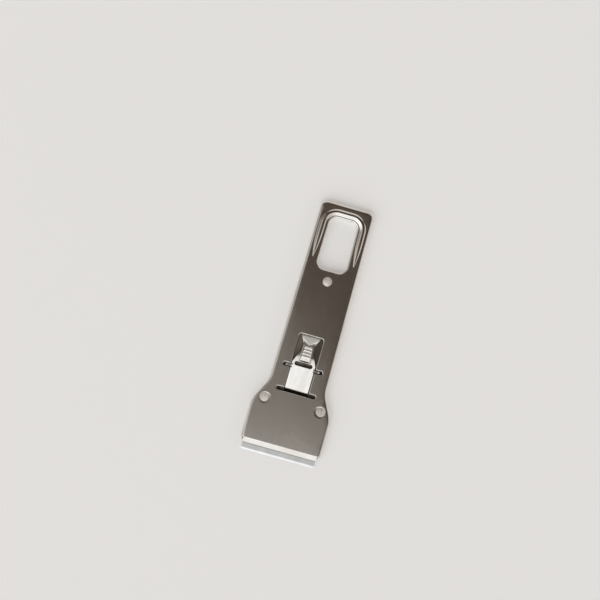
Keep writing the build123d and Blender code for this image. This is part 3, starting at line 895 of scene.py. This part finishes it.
class SCRAPER_OT_back_shell(bpy.types.Operator):
    """Back shell: a flat plate inside the front shell's rim, with three dimples that space the shells"""

    bl_idname = "scraper.back_shell"
    bl_label = "Back shell"

    def execute(self, context):
        settings = context.scene.scraper
        s, r = settings.shell, settings.rivets
        margin = 0.35 * MM
        nest = s.sheet + s.nest_gap
        edge = carried(*shell_path(s.back_setback + margin), [(-nest - margin, 0), (-nest, 0)])
        half = s.head_width / 2 - nest
        x = np.array([-half, margin - half, half - margin, half])
        y = along(s.back_setback) + np.array([margin, 0])
        front = woven(x, y[:, None], 0.0)
        hole = carried(*hole_outline(), [(nest, 0), (nest + margin, 0)])
        ceiling = s.face_level - 2 * s.sheet
        shank = r.shank / 2 + r.hole_gap
        top, base = r.dimple_top - shank, r.dimple_base - shank
        nip = 0.12 * MM
        bend = (1, 0) + arc(np.linspace(pi / 2, 0, 7)) * (-1, 1)
        dimple = [(0, ceiling), (top - nip, ceiling), (top, ceiling - nip)]
        dimple = np.concatenate([dimple, (base, 0) + r.dimple_round * bend])
        rings = [hole, *[carried(*circle(point, shank), dimple) for point in rivet_points()]]
        outer = np.concatenate([edge[0], front[0, 1:-1]])[:, :2]
        holes = [ring[-1][:, :2] for ring in rings]
        plate = filled(outer, holes, lambda points: np.zeros(len(points)))
        parts = [surface(edge), surface(front), plate, *[surface(ring, closed=True) for ring in rings]]
        add_piece(
            "back_shell_pressing", [flipped(part) for part in parts], "shell",
            [nickel_plated_back(), shaded_inside()], ["back_shell"], s.sheet, s.edge_round,
        )
        return {"FINISHED"}


def rivet_profile(seat):
    """Outside of a shell rivet, up from its tail, with its head on a seat at a level.

    The tail is crushed round at its rim. The dome is an arc, whose radius is the sum of the squares
    of its half width and its height, over twice its height. The nip rounds the head's rim.
    """
    s, r = chosen().shell, chosen().rivets
    ceiling = s.face_level - 2 * s.sheet
    rim = s.face_level + r.rim
    head, tail, shank = r.head / 2, r.tail / 2, r.shank / 2
    low = ceiling - r.tail_height
    crush, under, nip = 0.1 * MM, 0.06 * MM, 0.16 * MM
    curve = (head**2 + r.dome**2) / (2 * r.dome)
    out = np.linspace(head - 0.8 * nip, 0, 12)
    dome = np.column_stack([out, rim + r.dome - curve + np.sqrt(curve**2 - out**2)])
    profile = [(0, low), (tail - 4 * crush, low), (tail - crush, low + crush), (tail, low + 3 * crush)]
    profile += [(tail, ceiling), (shank, ceiling), (shank, seat), (head - under, seat)]
    profile += [(head, seat + under), (head, rim - nip), (head - 0.25 * nip, rim - 0.3 * nip)]
    return np.concatenate([profile, dome])


class SCRAPER_OT_rivets(bpy.types.Operator):
    """Shell rivets: low domed heads on the face, their tails pressed flat inside the dimples"""

    bl_idname = "scraper.rivets"
    bl_label = "Rivets"

    def execute(self, context):
        s = context.scene.scraper.shell
        material = tumbled_rivet()
        dished = s.face_level - s.seat_depth
        seats = {"handle_rivet": s.face_level, "left_head_rivet": dished, "right_head_rivet": dished}
        for (name, seat), point in zip(seats.items(), rivet_points()):
            part = revolved(rivet_profile(seat), point)
            add_piece(name + "_domed", [part], "shell", [material], [name])
        return {"FINISHED"}


# The thumb slide. Its sides have a point at least every leaf_step, so that they follow its bends,
# each of which goes over into a straight line within leaf_bend on both sides. Flat rings of the
# leaf_border's width lie along its cut edges, so that it shades evenly beside them.
leaf_step = 1.0 * MM
leaf_bend = 0.5 * MM
leaf_border = 0.08 * MM


def leaf_level(y):
    """Level of the leaf's upper face: flat at its root, up its tongue, down to its neck, up its tail.

    It is a line through four bends and flat at both ends. Each bend adds its change of slope times
    a run, which is a parabola that goes over into a straight line.
    """
    t = chosen().slide
    bends = along(np.array([t.crease_place, t.tongue_top_place, t.tail_neck, t.tail_flare]))
    levels = np.array([t.root_level, t.tongue_level, t.tongue_level - t.tail_dip, t.tongue_level])
    slopes = np.concatenate([[0], np.diff(levels) / np.diff(bends), [0]])
    past = np.asarray(y)[..., None] - bends
    run = np.where(past > leaf_bend, past, np.clip(past + leaf_bend, 0, None) ** 2 / (4 * leaf_bend))
    return t.root_level + run @ np.diff(slopes)


def leaf_outline():
    """Plan of the leaf, with a notch where each ear is bent down and a slit on both its sides."""
    t = chosen().slide
    ear = along(chosen().window.upper_slot)
    half, notch = t.tongue_width / 2, t.tongue_width / 2 - t.ear_fold
    reach, slit_end = t.ear_length / 2, t.ear_length / 2 + t.ear_slit
    right_side = [
        (half, along(t.front_place)),
        (half, ear - slit_end),
        (notch, ear - slit_end),
        (notch, ear - reach),
        (notch, ear + reach),
        (notch, ear + slit_end),
        (half, ear + slit_end),
        (half, along(t.shoulder_front)),
        (t.neck_width / 2, along(t.shoulder_rear)),
        (t.neck_width / 2, along(t.tail_neck)),
        (t.tail_width / 2, along(t.tail_flare)),
        (t.tail_width / 2, along(t.tail_end)),
    ]
    nip, corner = 0.14 * MM, t.corner
    radii = [corner, nip, nip, 0, 0, nip, nip, corner, corner, corner, corner, corner]
    return spaced(distinct(mirrored(right_side, radii, steps=7)[0]), leaf_step)


def button_side_view():
    """Places and heights of the button's rows: a steep rear, a top and a slope, with small rounds."""
    t = chosen().slide
    front, top, rear = along(t.button_place), along(t.button_place + t.button_slope), along(t.button_rear)
    row_step, rear_run = 0.07 * MM, 0.3 * MM
    rear_round, top_round, front_round = 0.3 * MM, 0.6 * MM, 0.12 * MM
    upper_rear = rear - t.button_rear_lean
    corners = [(rear + rear_run, 0), (rear, 0), (upper_rear, t.button_rise), (top, t.button_rise)]
    corners += [(front, 0), (front - row_step, 0)]
    steps = 9
    line, _ = rounded(corners, [0, t.button_foot, rear_round, top_round, front_round, 0], steps)
    return spaced(line[steps - 1 : 1 - steps], row_step, closed=False).T


def ridge_heights(y, height):
    """How far the ridges stand over the button's rows: four circular arcs along its flat top.

    An arc's radius is the sum of the squares of its half width and its height, over twice its
    height.
    """
    t = chosen().slide
    count = 4
    middle = (along(t.button_place + t.button_slope) + along(t.button_rear)) / 2
    middles = middle + (np.arange(count) - (count - 1) / 2) * t.ridge_pitch
    away = np.abs(y[:, None] - middles).min(1)
    radius = ((t.ridge_width / 2) ** 2 + t.ridge_height**2) / (2 * t.ridge_height)
    arch = np.sqrt(np.clip(radius**2 - away**2, 0, None)) - (radius - t.ridge_height)
    return np.where(height > t.button_rise - touching, np.clip(arch, 0, None), 0)


def button_grid():
    """Skin of the thumb button: rows along the tool, columns from its left foot to its right foot.

    Across a row the skin is flat at the side view's height, falls through a shoulder arc, leans out
    down the wall and runs out in a small foot arc. Both arcs are at most a share of the height, and
    a low row's columns are evenly spaced. The ridges are added on top and fade to nothing over the
    shoulders.
    """
    t = chosen().slide
    y, height = button_side_view()
    ends = along(np.array([t.button_place, t.button_rear]))
    width = np.interp(y, ends, [t.button_front_width, t.button_rear_width])[:, None] / 2
    arch = ridge_heights(y, height)[:, None]
    height = height[:, None]
    lean = t.button_draft / t.button_rise
    turn = pi / 2 - np.arctan(lean)
    shoulder_share, foot_share, low = 0.75, 0.35, 0.4 * MM
    shoulder = (shoulder_share * height).clip(0, t.button_round)
    foot = (foot_share * height).clip(0, t.button_foot)
    upper = width + lean * (t.button_rise - height)
    flat_end = upper - shoulder * tan(turn / 2)
    flat_x = flat_end * np.linspace(0, 1, 6)[:-1]
    run, drop = arc(turn * np.linspace(0, 1, 9)).T
    foot_x = width + t.button_draft + foot * (tan(turn / 2) - run[::-2])
    x = np.concatenate([flat_x, flat_end + shoulder * run, foot_x], axis=1)
    even = x[:, -1:] * np.linspace(0, 1, x.shape[1])
    x = even + (x - even) * (height / low).clip(0, 1)
    flat_z = np.broadcast_to(height, flat_x.shape)
    z = np.concatenate([flat_z, height - shoulder * drop, foot * drop[::-2]], axis=1).clip(0, height)
    z = z + arch * np.cos((x / upper).clip(0, 1) ** 6 * pi / 2) ** 2
    x = np.concatenate([-x[:, :0:-1], x], axis=1)
    z = np.concatenate([z[:, :0:-1], z], axis=1) + leaf_level(y)[:, None]
    return woven(x, y[:, None], z)


def ear_grid():
    """The right ear: rows from the fold on the tongue down, out and up to its tip, columns along it.

    The fold is a quarter arc down from the tongue. Two inner bends, a quarter arc each, turn it out
    at the floor and up again at the tip.
    """
    t = chosen().slide
    middle, reach = along(chosen().window.upper_slot), t.ear_length / 2
    y = spaced(np.array([(0, middle - reach), (0, middle + reach)]), leaf_step, closed=False)[:, 1]
    half, floor, out = t.tongue_width / 2, t.tongue_level - t.ear_drop, t.ear_reach - t.sheet
    fold_run, fold_drop = t.ear_fold * arc(np.linspace(0, pi / 2, 7)).T
    run, drop = t.ear_bend * arc(np.linspace(0, pi / 2, 5)).T
    away, up = drop, t.ear_bend - run
    x = np.concatenate([half - t.ear_fold + fold_run, half + away, out - up, [out]])
    fold = leaf_level(y) - fold_drop[:, None]
    rest = np.concatenate([floor + up, floor + away, [t.tongue_level]])
    z = np.concatenate([fold, np.repeat(rest[:, None], len(y), 1)])
    return woven(x[:, None], y, z)


class SCRAPER_OT_thumb_slide(bpy.types.Operator):
    """Thumb slide: a spring leaf with a tongue, two ears, an oblong slot, a ridged button and a tail"""

    bl_idname = "scraper.thumb_slide"
    bl_label = "Thumb slide"

    def execute(self, context):
        t = context.scene.scraper.slide
        button = button_grid()
        right_ear = ear_grid()
        left_ear = (right_ear * (-1, 1, 1))[:, ::-1]
        end, reach = t.oblong_length / 2, t.oblong_width / 2
        middle = along(t.oblong_place)
        right_end = [(end, middle - reach), (end, middle + reach)]
        slot = mirrored(right_end, [reach - weld_gap / 2] * 2, steps=13)
        across, y = t.root_spread / 2, along(t.root_place)
        roots = [circle((x, y), t.root_hole / 2, steps=24) for x in (-across, across)]
        edge = leaf_outline()
        rings = [np.stack([inset(edge, leaf_border), edge])]
        rings += [np.stack([line, line + leaf_border * normals]) for line, normals in (slot, *roots)]
        lifted = [np.concatenate([ring, leaf_level(ring[..., 1:])], axis=-1) for ring in rings]
        foot = [button[:, -1], button[-1, -2::-1], button[-2::-1, 0], button[0, 1:-1]]
        holes = [*[ring[1] for ring in rings[1:]], np.concatenate(foot)[:, :2]]
        lines = []
        for place, width in ((t.crease_place, t.tongue_width), (t.tail_flare, t.tail_width)):
            half = width / 2 - leaf_bend
            lines += [[(-half, y), (half, y)] for y in along(place) + leaf_bend * np.array([-1, 0, 1])]
        leaf = filled(rings[0][0], holes, lambda points: leaf_level(points[:, 1]), lines)
        parts = [leaf, surface(button), surface(right_ear), surface(left_ear)]
        parts += [surface(ring, closed=True) for ring in lifted]
        add_piece(
            "thumb_slide_leaf", parts, "thumb_latch", [polished_spring()], ["thumb_slide"],
            t.sheet, t.edge_round, even=False,
        )
        return {"FINISHED"}


class SCRAPER_OT_inner_pieces(bpy.types.Operator):
    """Blade, carrier and the leaf's two small rivets: the solids keep their shape and get finishes"""

    bl_idname = "scraper.inner_pieces"
    bl_label = "Blade and carrier"

    def execute(self, context):
        rivet = tumbled_rivet()
        finishes = {
            "blade": ground_blade(),
            "blade_carrier": shaded_rolled_strip(),
            "left_slide_rivet": rivet,
            "right_slide_rivet": rivet,
        }
        for name, material in finishes.items():
            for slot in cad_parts[name].material_slots:
                slot.material = material
        return {"FINISHED"}


# The studio


# The tent and the dark room over it depend on the direction alone. Directions are in the tool's own
# axes, so a place in the tent is given by the direction's X, Y and Z.
smoothstep = {"interpolation_type": "SMOOTHSTEP"}
smootherstep = {"interpolation_type": "SMOOTHERSTEP"}
blend = {"data_type": "RGBA", "clamp_result": False}


def dark_room(tree, studio, direction):
    """Colour of the room over the tent: a ramp along a line that leans a little to the side."""
    across_to_along = {"operation": "DOT_PRODUCT", 1: (0.8, 1, 0)}
    lean = add(tree, "VectorMath", across_to_along, {0: direction})
    reach = {"From Min": -0.102, "From Max": 0.178}
    run = add(tree, "MapRange", reach, {"Value": lean.outputs["Value"]})
    room = add(tree, "ValToRGB", None, {"Fac": run})
    room.color_ramp.interpolation = "EASE"
    near, far = (*studio.room_near, 1), (*studio.room_far, 1)
    between = tuple((a + b) / 2 for a, b in zip(near, far))
    first, last = room.color_ramp.elements
    first.color, last.color = near, far
    first.position, last.position = 0.2, 0.85
    for position, shade in ((0.36, far), (0.56, far), (0.68, between)):
        room.color_ramp.elements.new(position).color = shade
    return room


def tent_walls(tree, studio, across, along_tool):
    """Colour of the tent's walls: white in the middle of the front, greyer elsewhere."""
    towards_front = {**smoothstep, "From Min": -0.02, "From Max": -0.2}
    frontal = add(tree, "MapRange", towards_front, {"Value": along_tool})
    towards_middle = {**smoothstep, "From Min": 0.65, "From Max": 0.35}
    middle = add(tree, "MapRange", towards_middle, {"Value": across})
    white_part = add(tree, "Math", {"operation": "MULTIPLY"}, {0: frontal, 1: middle})
    white = [studio.tent] * 3
    ends = {**blend, 6: (*studio.side_wall, 1), 7: (*white, 1)}
    return add(tree, "Mix", ends, {0: white_part}).outputs[2]


def tent_light(studio):
    """A tent with a white front wall and greyer side walls, open over the tool to a dark room.

    The gap ends in front at an almost sharp edge. To the rear and the sides it is a rectangle in
    the direction's X and Y, over the horizon, and the distance outside it gives a soft edge.
    """
    world = bpy.data.worlds.new("Tent")
    bpy.context.scene.world = world
    world.use_nodes = True
    tree = world.node_tree
    tree.nodes.clear()
    direction = add(tree, "TexCoord").outputs["Generated"]
    parts = add(tree, "SeparateXYZ", None, {"Vector": direction}).outputs
    edges = (studio.front_edge, studio.rear_edge, studio.left_edge, studio.right_edge)
    front, rear, left, right = (sin(edge) for edge in edges)
    front_edge = {**smootherstep, "From Min": -front, "From Max": -front - studio.front_soft}
    front_wall = add(tree, "MapRange", front_edge, {"Value": parts["Y"]})
    gap_middle = {"operation": "SUBTRACT", 1: (right - left) / 2}
    from_middle = add(tree, "Math", gap_middle, {0: parts["X"]})
    across = add(tree, "Math", {"operation": "ABSOLUTE"}, {0: from_middle})
    down = add(tree, "Math", {"operation": "MULTIPLY", 1: -1}, {0: parts["Z"]})
    ways = add(tree, "CombineXYZ", None, {"X": across, "Y": parts["Y"], "Z": down})
    gap_reach = {"operation": "SUBTRACT", 1: ((left + right) / 2, rear, 0)}
    past = add(tree, "VectorMath", gap_reach, {0: ways})
    outside = add(tree, "VectorMath", {"operation": "MAXIMUM", 1: (0, 0, 0)}, {0: past})
    away = add(tree, "VectorMath", {"operation": "LENGTH"}, {0: outside})
    side_edge = {**smootherstep, "From Min": 0, "From Max": studio.side_soft}
    side_walls = add(tree, "MapRange", side_edge, {"Value": away.outputs["Value"]})
    wall = add(tree, "Math", {"operation": "MAXIMUM"}, {0: front_wall, 1: side_walls})
    room = dark_room(tree, studio, direction)
    walls = tent_walls(tree, studio, across, parts["Y"])
    radiance = add(tree, "Mix", blend, {0: wall, 6: room, 7: walls})
    lit = add(tree, "Background", None, {"Color": radiance.outputs[2]})
    add(tree, "OutputWorld", None, {"Surface": lit})


def matt_paper(lift):
    """Matt white paper. The lift shows it whiter to the eye and in the metal, and lights nothing else."""
    paper = bpy.data.materials.new("Matt white paper")
    paper.use_nodes = True
    tree = paper.node_tree
    shader = tree.nodes["Principled BSDF"]
    shader.inputs["Base Color"].default_value = (*chosen().finishes.floor, 1)
    shader.inputs["Roughness"].default_value = 0.9
    shader.inputs["Specular IOR Level"].default_value = 0.1
    shader.inputs["Emission Color"].default_value = (1, 1, 1, 1)
    path = add(tree, "LightPath")
    seen = path.outputs["Is Camera Ray"]
    for kind in ("Is Glossy Ray", "Is Transmission Ray"):
        seen = add(tree, "Math", {"operation": "MAXIMUM"}, {0: seen, 1: path.outputs[kind]})
    lifted = add(tree, "Math", {"operation": "MULTIPLY", 1: lift}, {0: seen})
    tree.links.new(lifted.outputs[0], shader.inputs["Emission Strength"])
    return paper


def round_floor(studio):
    """The studio's floor, a disc just under the tool."""
    points, _ = circle((0, 0), studio.floor_radius, steps=96)
    level = cad_low.z - 0.02 * MM
    mesh = bpy.data.meshes.new("studio_floor")
    points = np.column_stack([points, np.full(len(points), level)])
    mesh.from_pydata(points, [], [list(range(len(points)))])
    mesh.materials.append(matt_paper(studio.floor_lift))
    floor = bpy.data.objects.new("studio_floor", mesh)
    bpy.context.scene.collection.objects.link(floor)


def soft_lamp(studio):
    """A big weak lamp to the front and the left of the tool, turned towards it."""
    lamp = bpy.data.lights.new("soft_lamp", "AREA")
    lamp.size = studio.lamp_size
    lamp.energy = studio.lamp
    light = bpy.data.objects.new("soft_lamp", lamp)
    place_in_metres = (-1.2, -0.9, 1.7)
    light.location = place_in_metres
    light.rotation_euler = (-light.location).to_track_quat("-Z", "Y").to_euler()
    bpy.context.scene.collection.objects.link(light)


def leaning_camera(studio):
    """The camera, on a line from its aim that leans by the two tilts, turned by the roll.

    Its distance is the field times the lens over the sensor, so that the field fills the picture.
    """
    camera_data = bpy.data.cameras.new("camera")
    sensor = 36
    camera_data.lens = studio.lens
    camera_data.sensor_width = sensor
    camera_data.clip_start = 10 * MM
    camera = bpy.data.objects.new("camera", camera_data)
    aim = Vector((studio.aim_x, studio.aim_y, chosen().shell.face_level))
    towards = Vector((-tan(studio.tilt_left), tan(studio.tilt_up), 1)).normalized()
    up = Vector((-sin(studio.roll), cos(studio.roll), 0))
    right = up.cross(towards).normalized()
    turned = Matrix((right, towards.cross(right), towards)).transposed().to_4x4()
    eye = aim + towards * studio.field * studio.lens / sensor
    camera.matrix_world = Matrix.Translation(eye) @ turned
    bpy.context.scene.collection.objects.link(camera)
    bpy.context.scene.camera = camera


class SCRAPER_OT_stage(bpy.types.Operator):
    """Floor, tent, soft lamp and camera"""

    bl_idname = "scraper.stage"
    bl_label = "Studio"

    def execute(self, context):
        studio = context.scene.scraper.studio
        round_floor(studio)
        tent_light(studio)
        soft_lamp(studio)
        leaning_camera(studio)
        context.scene.view_settings.view_transform = "Standard"
        return {"FINISHED"}


class SCRAPER_PT_panel(bpy.types.Panel):
    """Lists the scraper's operators and sizes"""

    bl_label = "Hob scraper"
    bl_idname = "SCRAPER_PT_panel"
    bl_space_type = "VIEW_3D"
    bl_region_type = "UI"
    bl_category = "Scraper"

    def draw(self, context):
        for operator in operators:
            self.layout.operator(operator.bl_idname)
        settings = context.scene.scraper
        for name in ScraperSettings.__annotations__:
            group = getattr(settings, name)
            box = self.layout.box()
            box.label(text=name.capitalize())
            for key in type(group).__annotations__:
                box.prop(group, key)


operators = (
    SCRAPER_OT_front_shell,
    SCRAPER_OT_back_shell,
    SCRAPER_OT_rivets,
    SCRAPER_OT_thumb_slide,
    SCRAPER_OT_inner_pieces,
    SCRAPER_OT_stage,
)
groups = (
    ShellSizes,
    WindowSizes,
    HoleSizes,
    RivetSizes,
    SlideSizes,
    Finishes,
    StudioSettings,
    ScraperSettings,
)


def register():
    for item in (*groups, *operators, SCRAPER_PT_panel):
        bpy.utils.register_class(item)
    bpy.types.Scene.scraper = bpy.props.PointerProperty(type=ScraperSettings)


def unregister():
    del bpy.types.Scene.scraper
    for item in reversed((*groups, *operators, SCRAPER_PT_panel)):
        bpy.utils.unregister_class(item)


def main():
    """Builds everything."""
    register()
    bpy.ops.scraper.front_shell()
    bpy.ops.scraper.back_shell()
    bpy.ops.scraper.rivets()
    bpy.ops.scraper.thumb_slide()
    bpy.ops.scraper.inner_pieces()
    bpy.ops.scraper.stage()


if __name__ == "__main__":
    main()
